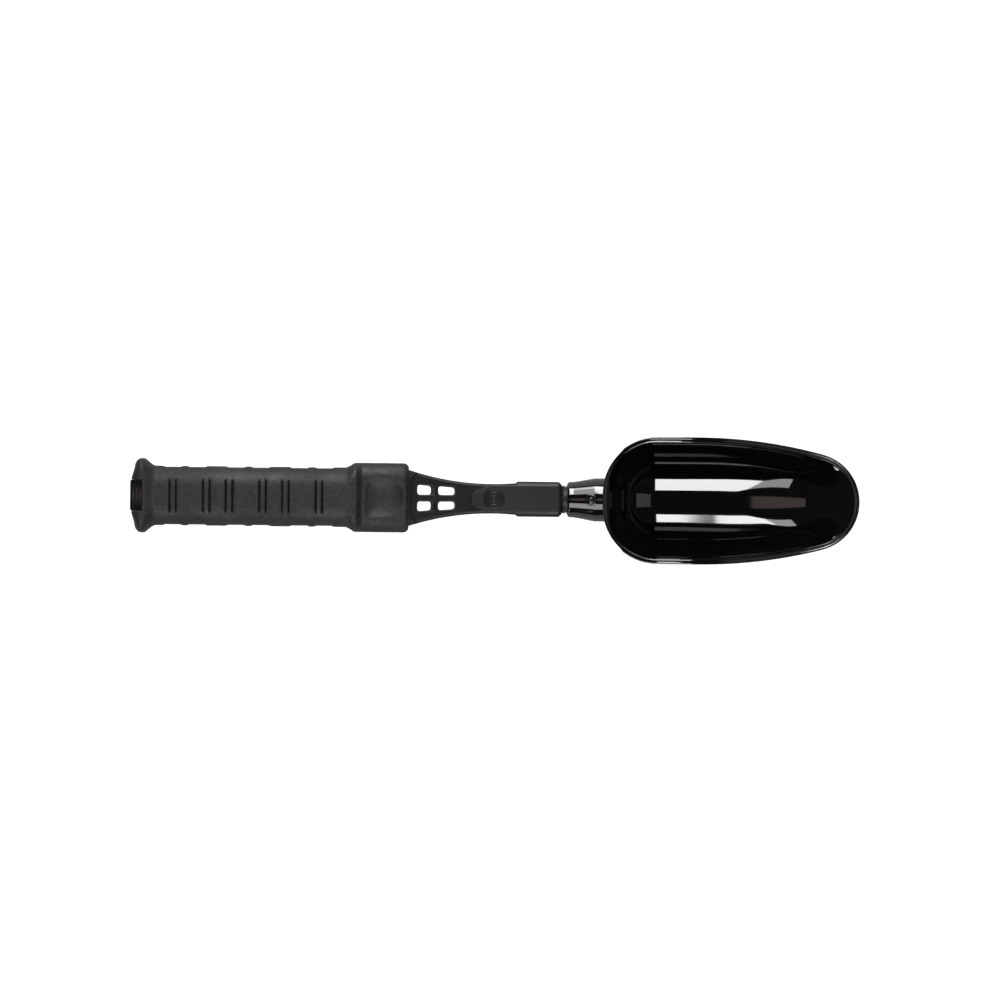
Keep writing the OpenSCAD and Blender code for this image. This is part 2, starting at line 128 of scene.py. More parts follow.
def smooth(piece, angle=None):
    deselectAll()
    bpy.context.view_layer.objects.active = piece
    piece.select_set(True)
    if angle is None:
        bpy.ops.object.shade_smooth()
    else:
        bpy.ops.object.shade_smooth_by_angle(angle=math.radians(angle))


def cutAway(piece, cutter):
    addModifier(piece, "BOOLEAN", object=cutter, operation="DIFFERENCE", solver="EXACT")
    bpy.data.objects.remove(cutter, do_unlink=True)


def joinPieces(pieces, name):
    deselectAll()
    for one in pieces:
        one.select_set(True)
    bpy.context.view_layer.objects.active = pieces[0]
    bpy.ops.object.join()
    pieces[0].name = name
    pieces[0].data.name = name
    return pieces[0]


def turned(name, profile, steps=96):
    # a point is extruded along the profile (x, radius), then spun round the handle's axis
    deselectAll()
    bpy.ops.mesh.primitive_plane_add(size=mm, location=(profile[0][0], 0, axisZ + profile[0][1]))
    piece = startEdit(name)
    bpy.ops.mesh.select_all(action="SELECT")
    bpy.ops.mesh.merge(type="CENTER")
    for (x0, r0), (x1, r1) in zip(profile, profile[1:]):
        extrudePoint(x1 - x0, r1 - r0)
    bpy.ops.mesh.select_all(action="SELECT")
    bpy.ops.mesh.spin(steps=steps, angle=math.tau, center=(0, 0, axisZ), axis=(1, 0, 0))
    mergeDoubles()
    facesOut()
    bpy.ops.object.mode_set(mode="OBJECT")
    return piece


def turnedUp(name, centre, profile, steps=96):
    # the same for a round piece that stands upright: points are (radius, height)
    deselectAll()
    start = (centre[0] + profile[0][0], centre[1], profile[0][1])
    bpy.ops.mesh.primitive_plane_add(size=mm, location=start)
    piece = startEdit(name)
    bpy.ops.mesh.select_all(action="SELECT")
    bpy.ops.mesh.merge(type="CENTER")
    for (r0, z0), (r1, z1) in zip(profile, profile[1:]):
        extrudePoint(r1 - r0, z1 - z0)
    bpy.ops.mesh.select_all(action="SELECT")
    bpy.ops.mesh.spin(steps=steps, angle=math.tau, center=(centre[0], centre[1], 0), axis=(0, 0, 1))
    mergeDoubles()
    facesOut()
    bpy.ops.object.mode_set(mode="OBJECT")
    return piece


def setRing(place, paint):
    # the points of the ring just extruded go to their places, and its faces get their finish
    mesh = bmesh.from_edit_mesh(bpy.context.edit_object.data)
    number = mesh.verts.layers.int["ringNumber"]
    for v in mesh.verts:
        if v.select:
            v.co = place(v[number])
            for face in v.link_faces:
                if sum(corner.select for corner in face.verts) > 1:
                    face.material_index = paint
    bmesh.update_edit_mesh(bpy.context.edit_object.data)


def loft(name, count, places, paints=None):
    # one ring of points, extruded from place to place; stays in edit mode
    deselectAll()
    bpy.ops.mesh.primitive_circle_add(vertices=count, radius=10 * mm, fill_type="NOTHING")
    piece = startEdit(name)
    mesh = bmesh.from_edit_mesh(piece.data)
    number = mesh.verts.layers.int.new("ringNumber")
    mesh.verts.ensure_lookup_table()
    for i, v in enumerate(mesh.verts):
        v[number] = i
    bpy.ops.mesh.select_all(action="SELECT")
    setRing(places[0], 0)
    for i, place in enumerate(places[1:]):
        extrudeEdges(x=mm)
        setRing(place, paints[i] if paints else 0)
    return piece


def darkenPicked(slot):
    mesh = bmesh.from_edit_mesh(bpy.context.edit_object.data)
    for face in mesh.faces:
        if face.select:
            face.material_index = slot
    bmesh.update_edit_mesh(bpy.context.edit_object.data)


def fillHoles():
    bpy.ops.mesh.select_all(action="SELECT")
    bpy.ops.mesh.fill_holes(sides=0)


# points round a rounded rectangle seen along the handle: flats on top and at the sides, quarter rounds between
def section(k, spread, w, h, r):
    top, side, corner = spread
    corners = [(1, 1), (-1, 1), (-1, -1), (1, -1)]
    flats = [top, side, top, side]
    for quarter in range(4):
        sy, sz = corners[quarter]
        cy, cz = sy * (w / 2 - r), sz * (h / 2 - r)
        if k < corner:
            turn = math.pi / 2 * (quarter + k / corner)
            return cy + r * math.cos(turn), cz + r * math.sin(turn)
        k -= corner
        flat = flats[quarter]
        if k < flat:
            turn = math.pi / 2 * (quarter + 1)
            ny, nz = corners[(quarter + 1) % 4]
            a = (cy + r * math.cos(turn), cz + r * math.sin(turn))
            b = (ny * (w / 2 - r) + r * math.cos(turn), nz * (h / 2 - r) + r * math.sin(turn))
            return a[0] + (b[0] - a[0]) * k / flat, a[1] + (b[1] - a[1]) * k / flat
        k -= flat


def spreadCount(spread):
    return 2 * spread[0] + 2 * spread[1] + 4 * spread[2]


def sectionAt(x, spread, w, h, r):
    def place(k):
        y, z = section(k, spread, w, h, min(r, w / 2 - 0.05 * mm, h / 2 - 0.05 * mm))
        return Vector((x, y, axisZ + z))
    return place


def eased(t):
    t = min(1, max(0, t))
    return t * t * (3 - 2 * t)


def along(x, table):
    # smooth value between the rows (x, value) of a table
    if x <= table[0][0]:
        return table[0][1]
    for (x0, v0), (x1, v1) in zip(table, table[1:]):
        if x <= x1:
            return v0 + (v1 - v0) * eased((x - x0) / (x1 - x0))
    return table[-1][1]


print("scoop shell")
shell = {
    "tipRadius": 29.5 * mm,
    "backRadius": 33.7 * mm,
    "floorRadius": 29 * mm,      # inside the trough
    "wall": 2.4 * mm,
    "rimWall": 2 * mm,
    "lipOut": 1.3 * mm,
    "lipHigh": 2.6 * mm,
    "lipStep": 0.6 * mm,         # the lip is narrower by this much near the socket
    "tipDrop": 10 * mm,
    "footHalf": 8.5 * mm,
    "socketLength": 20.5 * mm,
    "socketMouth": 10.7 * mm,
    "socketRoot": 13 * mm,
}
rimBackX = mouthX + shell["socketLength"]
bowlLength = tipX - rimBackX
keelStart = shell["backRadius"]
keelEnd = 0.43 * bowlLength


def rimOutline(inset):
    # round the rim from the tip, over the +Y side to the back and round again
    tip, back = shell["tipRadius"], shell["backRadius"]
    tipAt, sideAt = bowlLength - tip, 0.38 * bowlLength
    sideRadius = ((tipAt - sideAt) ** 2 + bowlHalf ** 2 - tip ** 2) / (2 * (bowlHalf - tip))
    sideTurn = math.atan((tipAt - sideAt) / (sideRadius - bowlHalf))
    half = []
    for i in range(11):
        a = (math.pi / 2 - sideTurn) * i / 10
        half.append((tipAt + (tip - inset) * math.cos(a), (tip - inset) * math.sin(a)))
    for i in range(1, 15):
        a = math.pi / 2 - sideTurn + sideTurn * i / 14
        half.append((sideAt + (sideRadius - inset) * math.cos(a),
                     bowlHalf - sideRadius + (sideRadius - inset) * math.sin(a)))
    for i in range(1, 7):
        half.append((sideAt + (back - sideAt) * i / 6, bowlHalf - inset))
    for degrees in (96, 102, 108, 114, 120, 125, 128.2, 130.3, 134, 140, 147, 154, 161, 167, 173, 180):
        a = math.radians(degrees)
        half.append((back + (back - inset) * math.cos(a), bowlHalf - back + (back - inset) * math.sin(a)))
    return half + [(x, -y) for x, y in half[:0:-1]]


def rimHeight(x):
    return rimZ - shell["tipDrop"] * eased((x - 0.3 * bowlLength) / (0.7 * bowlLength))


def troughHeight(q, arc, halfWidth, height):
    # an arc in the bottom, then a straight wall up to the rim
    toRim = math.hypot(halfWidth, height - arc)
    slope = math.pi / 2 + math.atan2(height - arc, halfWidth) - math.acos(arc / toRim)
    if q < arc * math.sin(slope):
        return arc - math.sqrt(arc * arc - q * q)
    return arc * (1 - math.cos(slope)) + (q - arc * math.sin(slope)) * math.tan(slope)


def skinRing(share, inset, floor, arc, drop, firstShare):
    outline = rimOutline(inset)
    halfWidth, height = bowlHalf - inset, rimZ - drop - floor
    start = troughHeight(firstShare * halfWidth, arc, halfWidth, height)
    lift = (troughHeight(share * halfWidth, arc, halfWidth, height) - start) / (height - start)

    def place(k):
        x, y = outline[k]
        keel = min(keelEnd, max(keelStart, x))
        top = rimHeight(x) - drop
        return Vector((rimBackX + keel + share * (x - keel), share * y, floor + (top - floor) * lift))
    return place


def rimRing(inset, rise):
    outline = rimOutline(inset)
    edge = rimOutline(0)

    def place(k):
        x, y = outline[k]
        if inset < 1.3 * mm:         # the narrower part of the lip
            narrow = shell["lipStep"] * (1 - eased((edge[k][0] - 11.6 * mm) / (0.9 * mm)))
            away = Vector((x, y)) - Vector((keelStart, max(-4.4 * mm, min(4.4 * mm, y))))
            if x < keelStart and inset + narrow < 1.3 * mm:
                x, y = x - away.x * narrow / away.length, y - away.y * narrow / away.length
        return Vector((rimBackX + x, y, rimHeight(outline[k][0]) + rise))
    return place


def makeBowl():
    outerShares = [shell["footHalf"] / (bowlHalf - shell["lipOut"])]
    outerShares += [0.26, 0.31, 0.4, 0.5, 0.6, 0.7, 0.8, 0.9, 0.97, 1]
    innerShares = [0.975, 0.95, 0.9, 0.84, 0.78, 0.72, 0.66, 0.6, 0.54, 0.48, 0.42, 0.36, 0.3, 0.24, 0.18, 0.12]
    # each point of the lip: inset and rise in millimetres, then the slot of its face
    lip = [(1.15, -2.6, 0), (0.15, -2.6, 0), (0, -2.4, 1), (0, -0.5, 1), (0.12, -0.2, 1), (0.35, -0.04, 1),
           (0.7, 0, 1), (1.0, -0.02, 1), (1.15, -0.1, 1), (1.3, -0.26, 1), (1.5, -0.3, 1), (1.9, -0.28, 1),
           (2.35, -0.24, 1), (2.5, -0.2, 0), (2.65, -0.06, 0), (2.85, 0, 0), (3.1, -0.08, 0), (3.25, -0.35, 0),
           (3.3, -0.7, 0)]
    places, paints = [], []
    for share in outerShares:
        places.append(skinRing(share, shell["lipOut"], 0, shell["floorRadius"] + shell["wall"],
                               shell["lipHigh"], outerShares[0]))
        paints.append(0)
    for inset, rise, paint in lip:
        places.append(rimRing(inset * mm, rise * mm))
        paints.append(paint)
    for share in innerShares:
        places.append(skinRing(share, shell["lipOut"] + shell["rimWall"], shell["wall"],
                               shell["floorRadius"], 0, 0.12))
        paints.append(0)
    count = len(rimOutline(0))
    bowl = loft("scoopShell", count, places, paints[1:])
    # the foot and the middle of the floor are closed with strips across
    for test in (lambda v: v.co.z < 1 * mm, lambda v: v.co.z > 1 * mm):
        pick(lambda e: e.is_boundary and all(test(v) for v in e.verts)
             and any(all(side * v.co.y > 0.01 * mm for v in e.verts) for side in (1, -1)), "EDGE")
        bpy.ops.mesh.bridge_edge_loops()
    fillHoles()
    facesOut()
    bpy.ops.object.mode_set(mode="OBJECT")
    addModifier(bowl, "SUBSURF", levels=1, render_levels=1)
    return bowl


def makeSocket(bowl):
    ringCount = 96
    mouth, root = shell["socketMouth"], shell["socketRoot"]
    taperEnd = 0.8 * shell["socketLength"]

    def flat(x, radius):
        def place(k):
            a = math.tau * k / ringCount
            return Vector((mouthX + x, radius * math.cos(a), axisZ + radius * math.sin(a)))
        return place

    def onWall(radius, back=0):      # where a line along the socket meets the outside of the bowl
        def place(k):
            a = math.tau * k / ringCount
            start = Vector((mouthX, radius * math.cos(a), axisZ + radius * math.sin(a)))
            return bowl.ray_cast(start, Vector((1, 0, 0)))[1] + Vector((back, 0, 0))
        return place

    profile = [(16, 0.1), (16, 6.1), (15.9, 6.25), (2.1, 6.25), (2, 6.4), (2, 8.5), (1.9, 8.65), (0.35, 8.68),
               (0.1, 8.8), (0, 9.0), (0, 9.35), (0.1, 9.62), (0.9, 10.5), (1.15, 10.66), (1.6, 10.7)]
    places = [flat(x * mm, r * mm) for x, r in profile]
    lead = 3.6 * mm
    for i in range(11):
        share = i / 10
        swell = share - 0.12 * share * (1 - share)
        places.append(flat(lead + (taperEnd - lead) * share, mouth + (root - mouth) * swell))
    # a fillet against the wall of the bowl, then the end inside the wall
    for wider, back in ((0, -2.2), (0.12, -1.4), (0.5, -0.6), (1.1, -0.15), (1.8, 0.1), (1.2, 0.8)):
        places.append(onWall(root + wider * mm, back * mm))
    places += [onWall(r * mm, 0.9 * mm) for r in (11, 8, 5, 2, 0.1)]
    socket = loft("socket", ringCount, places)
    fillHoles()
    facesOut()
    bpy.ops.object.mode_set(mode="OBJECT")
    return socket


def makeRelief():
    # a small round relief of plain rings on top of the socket
    x = 14.2 * mm
    radius = shell["socketRoot"] - 0.35 * mm
    points = [(0, 0.3), (0.85, 0.3), (1.05, 0.42), (1.2, 0.5), (1.5, 0.5), (1.65, 0.4), (1.8, 0.15), (2.3, 0.12),
              (2.45, 0.3), (2.65, 0.5), (3.0, 0.55), (3.3, 0.5), (3.5, 0.3), (3.65, -0.1), (3.65, -1.2), (0, -1.2)]
    ring = turnedUp("relief", (mouthX + x, 0), [(r * mm, axisZ + radius + z * mm) for r, z in points])
    for v in ring.data.vertices:     # laid on the round of the socket and its taper
        v.co.z += math.sqrt(radius ** 2 - v.co.y ** 2) - radius + (v.co.x - mouthX - x) * 0.16
    return ring


bowl = makeBowl()
scoopShell = joinPieces([bowl, makeSocket(bowl), makeRelief()], "scoopShell")
smooth(scoopShell, 40)
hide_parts("scoop_shell")
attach(scoopShell, "scoop")


print("grip sleeve")
grip = {
    "width": 34.6 * mm, "height": 31 * mm, "corner": 11.5 * mm,
    "buttWidth": 44.6 * mm, "buttHeight": 36.8 * mm, "roll": 5.7 * mm,
    "restWidth": 41.6 * mm, "restHeight": 36 * mm, "restRound": 3 * mm,
    "bandRise": 0.6 * mm, "bandHalfHigh": 9.4 * mm,
    "wideBands": (13.1, 51.2, 89.3, 127.4), "narrowBands": (32.15, 70.25, 108.35),
    "grooves": (23.1, 27.0, 43.2, 47.1, 56.9, 60.8, 77.0, 80.9, 90.7, 94.6, 110.8, 114.7),
    "grooveHalf": 9.9 * mm,
    "dishX": 152.0 * mm, "dishHalf": 12 * mm, "dishDeep": 2.9 * mm,
    "notchHalf": 9.55 * mm, "notchDeep": 6.9 * mm,
}
gripSpread = (24, 8, 8)
restLength = restEndX - buttX


def gripSize(x):
    # width, height and corner radius of the sleeve at x from its butt end
    width = along(x, [(6.2 * mm, grip["buttWidth"]), (14.4 * mm, grip["width"]),
                      (128.7 * mm, grip["width"]), (134.3 * mm, grip["restWidth"])])
    height = along(x, [(6.2 * mm, grip["buttHeight"]), (14.4 * mm, grip["height"]), (132 * mm, grip["height"]),
                       (134.9 * mm, grip["height"] - 1.1 * mm), (138.6 * mm, grip["restHeight"])])
    corner = along(x, [(6 * mm, 8 * mm), (14 * mm, grip["corner"]),
                       (130 * mm, grip["corner"]), (138 * mm, 9 * mm)])
    if x < grip["roll"]:
        drawn = grip["roll"] * (1 - math.sqrt(1 - (1 - x / grip["roll"]) ** 2))
        width, height = width - 2 * drawn, height - 2 * drawn
    rounding = (x - (restLength - grip["restRound"])) / grip["restRound"]
    if rounding > 0:
        drawn = grip["restRound"] * (1 - math.sqrt(max(0, 1 - rounding ** 2)))
        width, height, corner = width - 2 * drawn, height - 2 * drawn, corner - drawn
    return width, height, corner


def bandRise(x):
    rise = 0
    for middles, half in ((grip["wideBands"], 6.3), (grip["narrowBands"], 2)):
        for middle in middles:
            if x < 131 * mm:
                rise = max(rise, 1 - eased((abs(x / mm - middle) - half + 0.45) / 0.9))
    return rise * grip["bandRise"]


def dishDrop(x, y):
    # straight across towards the butt, round towards the bowl
    a, b = (x - grip["dishX"]) / (grip["dishHalf"] - 0.3 * mm), y / grip["dishHalf"]
    power = 2 if a > 0 else 2 + 3.5 * eased(-a * 2)
    out = (abs(a) ** power + abs(b) ** power) ** (1 / power)
    if out >= 1:
        return 0
    return grip["dishDeep"] * (1 - out ** 2.6)


def gripRing(x):
    width, height, corner = gripSize(x)
    base = sectionAt(buttX + x, gripSpread, width, height, corner)
    rise = bandRise(x)

    def place(k):
        point = base(k)
        z = point.z - axisZ
        if abs(point.y) > width / 2 - 6 * mm:
            fade = 1 - eased((abs(z) - grip["bandHalfHigh"] + 1.5 * mm) / (1.5 * mm))
            point.y += math.copysign(rise * fade, point.y)
        if z > 12 * mm:
            point.z -= dishDrop(x, point.y)
        # the ears of the butt lean back from the notch
        lean = eased((abs(point.y) - grip["notchHalf"] + 1 * mm) / (9 * mm))
        point.x += 1.9 * mm * lean * max(0, 1 - x / (7 * mm))
        return point
    return place


def gripStations():
    stations = [0.02, 0.25, 0.8, 1.6, 2.6, 3.8, 5.0, 6.2, 7.6, 8.9, 10.2, 11.5, 12.8, 14.2, 15.6, 17.2]
    stations += [128.2, 129.4, 130.6, 131.8, 133, 134, 134.9, 135.8, 136.7, 137.6, 138.5, 139.4]
    stations += [140.2 + 0.85 * i for i in range(28)]
    stations += [163.9, 164.5, 165.1, 165.6, 166.0, 166.25, 166.37, 166.4]
    for middles, half in ((grip["wideBands"], 6.3), (grip["narrowBands"], 2)):
        for middle in middles:
            for edge in (middle - half, middle + half):
                if 15 < edge < 128:
                    stations += [edge - 0.5, edge, edge + 0.5]
    fixed = []
    for middle in grip["grooves"]:
        fixed += [middle - 0.5, middle + 0.5]
    x = 19.5
    while x < 127.5:
        stations.append(x)
        x += 2.2
    stations = [x for x in stations if all(abs(x - f) > 0.55 for f in fixed)]
    ordered = sorted(stations)
    fixed += [x for i, x in enumerate(ordered) if i == 0 or x - ordered[i - 1] > 0.2 or x > 163 or x < 1]
    return sorted(fixed)


def makeGripSleeve():
    places = [gripRing(x * mm) for x in gripStations()]
    sleeve = loft("gripSleeve", spreadCount(gripSpread), places)
    fillHoles()
    facesOut()
    grooves = [buttX + x * mm for x in grip["grooves"]]
    pick(lambda f: abs(f.normal.z) > 0.6 and abs(f.calc_center_median().y) < grip["grooveHalf"]
         and any(abs(f.calc_center_median().x - x) < 0.4 * mm for x in grooves), "FACE")
    bpy.ops.mesh.inset(thickness=0.08 * mm, depth=-0.85 * mm)
    # the groove floors take the near-black slot: painted shade in the grooves
    darkenPicked(1)
    # both flat ends keep their edge
    pick(lambda f: abs(f.normal.x) > 0.9 and len(f.verts) > 20, "FACE")
    bpy.ops.mesh.inset(thickness=0.3 * mm, depth=0)
    bpy.ops.object.mode_set(mode="OBJECT")
    addModifier(sleeve, "SUBSURF", levels=1, render_levels=1)
    cutAway(sleeve, makeNotchCutter())
    cutAway(sleeve, makeCoreCutter())
    return sleeve


def makeNotchCutter():
    # the notch for the butt plug, open above and below
    deselectAll()
    depth = grip["notchDeep"] + 5 * mm
    bpy.ops.mesh.primitive_cube_add(size=1, location=(buttX + grip["notchDeep"] - depth / 2, 0, axisZ),
                                    scale=(depth, 2 * grip["notchHalf"], 60 * mm))
    cutter = startEdit("notchCutter")
    pick(lambda e: all(v.co.x > buttX for v in e.verts) and abs(e.verts[0].co.z - e.verts[1].co.z) > mm, "EDGE")
    bpy.ops.mesh.bevel(offset=0.8 * mm, segments=3, affect="EDGES")
    bpy.ops.object.mode_set(mode="OBJECT")
    return cutter


def makeCoreCutter():
    # the room for the handle's core inside the rubber
    spread = (4, 4, 4)
    places = [sectionAt(buttX + 5 * mm, spread, 25 * mm, 21 * mm, 5 * mm),
              sectionAt(restEndX - 8 * mm, spread, 25 * mm, 21 * mm, 5 * mm),
              sectionAt(restEndX - 8 * mm, spread, 33.6 * mm, 17 * mm, 1.5 * mm),
              sectionAt(restEndX + 1 * mm, spread, 33.6 * mm, 17 * mm, 1.5 * mm)]
    cutter = loft("coreCutter", spreadCount(spread), places)
    fillHoles()
    facesOut()
    bpy.ops.object.mode_set(mode="OBJECT")
    return cutter


gripSleeve = makeGripSleeve()
smooth(gripSleeve, 35)
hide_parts("grip_sleeve")
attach(gripSleeve, "handle")


print("handle core")
core = {
    "neckHeight": 17 * mm, "neckRound": 1.6 * mm,
    "waist": 8.9 * mm, "neckRadius": 160 * mm, "waistToNose": 14.7 * mm,
    "noseLength": 27.3 * mm, "noseWidth": 20.9 * mm, "noseHeight": 20 * mm,
    "badgeRadius": 6.3 * mm,
    "landHalf": 8.3 * mm, "tongueLength": 13.8 * mm,
    "gussetRise": 1.2 * mm, "gussetRound": 8 * mm,
    "windowLength": 11 * mm, "windowFirst": 5.1 * mm, "windowPitch": 12.6 * mm,
    "voxel": 0.36 * mm,
}
neckX = restEndX
noseX = jointX - core["noseLength"]
waistX = noseX - core["waistToNose"]
badgeX = noseX - 13.5 * mm


def neckHalf(x):
    r = core["neckRadius"]
    return core["waist"] + r - math.sqrt(r * r - (max(x, neckX) - waistX) ** 2)


def closed(piece):
    fillHoles()
    facesOut()
    bpy.ops.object.mode_set(mode="OBJECT")
    return piece


def makeNeck():
    spread = (10, 6, 4)
    places = [sectionAt(neckX - 8 * mm, spread, 2 * neckHalf(neckX), core["neckHeight"], core["neckRound"])]
    for i in range(30):
        x = neckX + (noseX + 4 * mm - neckX) * i / 29
        places.append(sectionAt(x, spread, 2 * neckHalf(x), core["neckHeight"], core["neckRound"]))
    neck = closed(loft("neck", spreadCount(spread), places))
    for side in (1, -1):
        for i in range(2):
            cutAway(neck, makeWindowCutter(neckX + core["windowFirst"] + i * core["windowPitch"], i, side))
    return neck


def makeWindowCutter(x, i, side):
    # a window narrows towards the nose, and its wall on that side slopes inwards
    near, far = (6 - 0.8 * i) * mm, (5.2 - 0.8 * i) * mm
    deselectAll()
    bpy.ops.mesh.primitive_cube_add(size=1, scale=(core["windowLength"], near, core["neckHeight"]),
                                    location=(x + core["windowLength"] / 2, side * (2 * mm + near / 2), axisZ))
    cutter = startEdit("windowCutter")
    pick(lambda v: v.co.x > x + mm and abs(v.co.y) > 3 * mm)
    move(y=side * (far - near))
    pick(lambda v: v.co.x > x + mm and v.co.z < axisZ)
    move(x=(-3 + 1.6 * i) * mm)
    pick(lambda e: abs(e.verts[0].co.z - e.verts[1].co.z) > 10 * mm, "EDGE")
    bpy.ops.mesh.bevel(offset=1.5 * mm, segments=5, affect="EDGES")
    # the mouth above and below is opened with a soft edge
    pick(lambda f: abs(f.normal.z) > 0.9, "FACE")
    bpy.ops.mesh.extrude_region_shrink_fatten(TRANSFORM_OT_shrink_fatten={"value": 3 * mm})
    bpy.ops.object.mode_set(mode="OBJECT")
    return cutter


def makeLand():
    # the raised tongue that carries the badge, above and below
    spread = (8, 4, 3)
    tipX = badgeX - core["tongueLength"]
    step = (core["noseHeight"] - core["neckHeight"]) / 2
    places = []
    for i in range(40):
        x = tipX + 0.02 * mm + (noseX + 5 * mm - tipX) * (i / 39) ** 1.5
        d = x - tipX
        if d < 2.25 * mm:
            half = math.sqrt((4 * mm) ** 2 - (4 * mm - d) ** 2)
        elif x < badgeX - 3.64 * mm:
            half = 3.6 * mm + 3.86 * mm * (d - 2.25 * mm) / (7.91 * mm)
        else:
            half = math.sqrt(core["landHalf"] ** 2 - min(0, x - badgeX) ** 2)
        ramp = min(1, d / (core["tongueLength"] - core["badgeRadius"]))
        rise = core["neckHeight"] / 2 + step / 4 + step * 0.75 * ramp
        places.append(sectionAt(x, spread, 2 * min(half, core["landHalf"]), 2 * rise, 0.5 * mm))
    return closed(loft("land", spreadCount(spread), places))


def makeNose():
    spread = (8, 8, 6)
    w, h, r = core["noseWidth"] + 0.2 * mm, core["noseHeight"], 3.6 * mm
    places = []
    for x, inset in ((0, 0.25), (0.15, 0.08), (0.4, 0), (10, 0), (20, 0), (25.0, 0), (25.25, 0.05), (25.5, 0.2),
                     (26.9, 1.5), (27.2, 1.85), (27.3, 2.2)):
        inset *= mm
        places.append(sectionAt(noseX + x * mm, spread, w - 2 * inset, h - 2 * inset, r - inset * 0.6))
    return closed(loft("nose", spreadCount(spread), places))


def makeGusset(side):
    # a corner at the wide end of the neck, left standing by the rounded end of the sunk panel
    r = core["gussetRound"]
    centreX, centreY = neckX + 0.8 * mm + r, neckHalf(neckX) - 0.8 * mm - r
    arc = [(centreX + r * math.cos(a), centreY + r * math.sin(a))
           for a in (math.pi / 2 + math.pi / 2 * i / 40 for i in range(41))]
    arc = [(x, y) for x, y in arc if y < neckHalf(x) - 0.12 * mm]
    reach = arc[0][0] - neckX
    outline = [(neckX - 2 * mm, neckHalf(neckX) - 0.1 * mm)]
    outline += [(neckX + reach * i / 6, neckHalf(neckX + reach * i / 6) - 0.12 * mm) for i in range(6)]
    outline += arc
    outline += [(neckX + 0.8 * mm, 0.1 * mm), (neckX - 2 * mm, 0.1 * mm)]
    half = core["neckHeight"] / 2 + core["gussetRise"]
    gusset = loft("gusset", len(outline), [
        (lambda k, z=z: Vector((outline[k][0], side * outline[k][1], axisZ + z))) for z in (-half, half)])
    return closed(gusset)


def makeTang():
    spread = (6, 4, 4)
    return closed(loft("tang", spreadCount(spread), [
        sectionAt(x, spread, 24.9 * mm, 20.9 * mm, 5 * mm) for x in (buttX + 6.95 * mm, neckX - 4 * mm)]))


def makeHandleCore():
    handle = joinPieces([makeNeck(), makeLand(), makeNose(), makeGusset(1), makeGusset(-1)], "handleCore")
    addModifier(handle, "REMESH", mode="VOXEL", voxel_size=core["voxel"])
    addModifier(handle, "SMOOTH", factor=0.5, iterations=5)
    # the pocket of the badge and the bore of the insert
    pocket = [(0, 7.75), (6.3, 7.75), (6.33, 9.85), (6.75, 10.3), (6.75, 12), (0, 12)]
    cutAway(handle, turnedUp("pocket", (badgeX, 0), [(r * mm, axisZ + z * mm) for r, z in pocket]))
    bore = [(-17, 0), (-17, 4.76), (-13.93, 4.76), (-13.93, 6.7), (-1.2, 6.7), (-1.2, 7.7), (1, 7.7), (1, 0)]
    cutAway(handle, turned("bore", [(jointX + x * mm, r * mm) for x, r in bore]))
    tang = makeTang()
    hollow = [(4, 0), (4, 7.5), (132.9, 7.5), (132.9, 0)]
    cutAway(tang, turned("hollow", [(buttX + x * mm, r * mm) for x, r in hollow], 48))
    return joinPieces([handle, tang], "handleCore")


handleCore = makeHandleCore()
smooth(handleCore, 42)
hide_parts("handle_core")
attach(handleCore, "handle")


print("badge, collar, washer and plug")
badge = {"radius": 6.25, "thick": 2.15}    # millimetres; the points below are (radius, height)


def makeBadge():
    r, top = badge["radius"], badge["thick"]
    points = [(0, 0), (r - 0.2, 0), (r, 0.2), (r, top - 0.35), (r - 0.12, top - 0.1), (r - 0.38, top),
              (r - 0.95, top), (r - 1.15, top - 0.12), (r - 1.3, top - 0.45), (r - 1.55, top - 0.5),
              (4.3, top - 0.46), (4.15, top - 0.3), (3.85, top - 0.22), (3.55, top - 0.3), (3.4, top - 0.46), (2.5, top - 0.46),
              (2.25, top - 0.4), (2.1, top - 0.12), (1.85, top), (0.7, top), (0.5, top - 0.12), (0, top - 0.14)]
    return turnedUp("badgeDisc", (badgeX, 0), [(a * mm, axisZ + 7.8 * mm + z * mm) for a, z in points], 72)


badgeDisc = makeBadge()
smooth(badgeDisc, 40)
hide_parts("badge_disc")
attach(badgeDisc, "handle")

collar = {"radius": 8.65, "waist": 7.75, "bore": 4.72}


def makeCollar():
    # two rounded edges with a hollow between them, and a plain seat inside the socket
    r, w, b = collar["radius"], collar["waist"], collar["bore"]
    points = [(1.03, b + 0.3), (1.0, b + 0.6), (1.0, r - 0.3), (1.06, r - 0.1), (1.22, r), (1.45, r),
              (1.6, r - 0.1), (1.75, w + 0.25), (1.95, w + 0.04), (2.15, w), (2.35, w + 0.04), (2.55, w + 0.25), (2.7, r - 0.1),
              (2.85, r), (3.4, r), (4.9, r), (5.08, r - 0.2), (5.1, b + 0.3), (5.0, b), (1.2, b)]
    points.append(points[0])
    return turned("studCollar", [(jointX + x * mm, a * mm) for x, a in points])


studCollar = makeCollar()
smooth(studCollar, 40)
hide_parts("stud_collar")
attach(studCollar, "scoop")


def makeWasher():
    r, b = 8.2, 4.78
    points = [(0.18, b), (0.02, b + 0.15), (0, b + 0.5), (0, r - 0.3), (0.08, r - 0.08), (0.28, r + 0.03),
              (0.5, r + 0.05), (0.72, r + 0.03), (0.92, r - 0.08), (1, r - 0.3), (1, b + 0.5),
              (0.98, b + 0.15), (0.82, b)]
    points.append(points[0])
    return turned("sealWasher", [(jointX + x * mm, a * mm) for x, a in points])


sealWasher = makeWasher()
smooth(sealWasher, 50)
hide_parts("seal_washer")
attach(sealWasher, "washer")

plug = {"half": 9.5, "deep": 6.85, "tall": 27, "proud": 0.6, "round": 2.2}


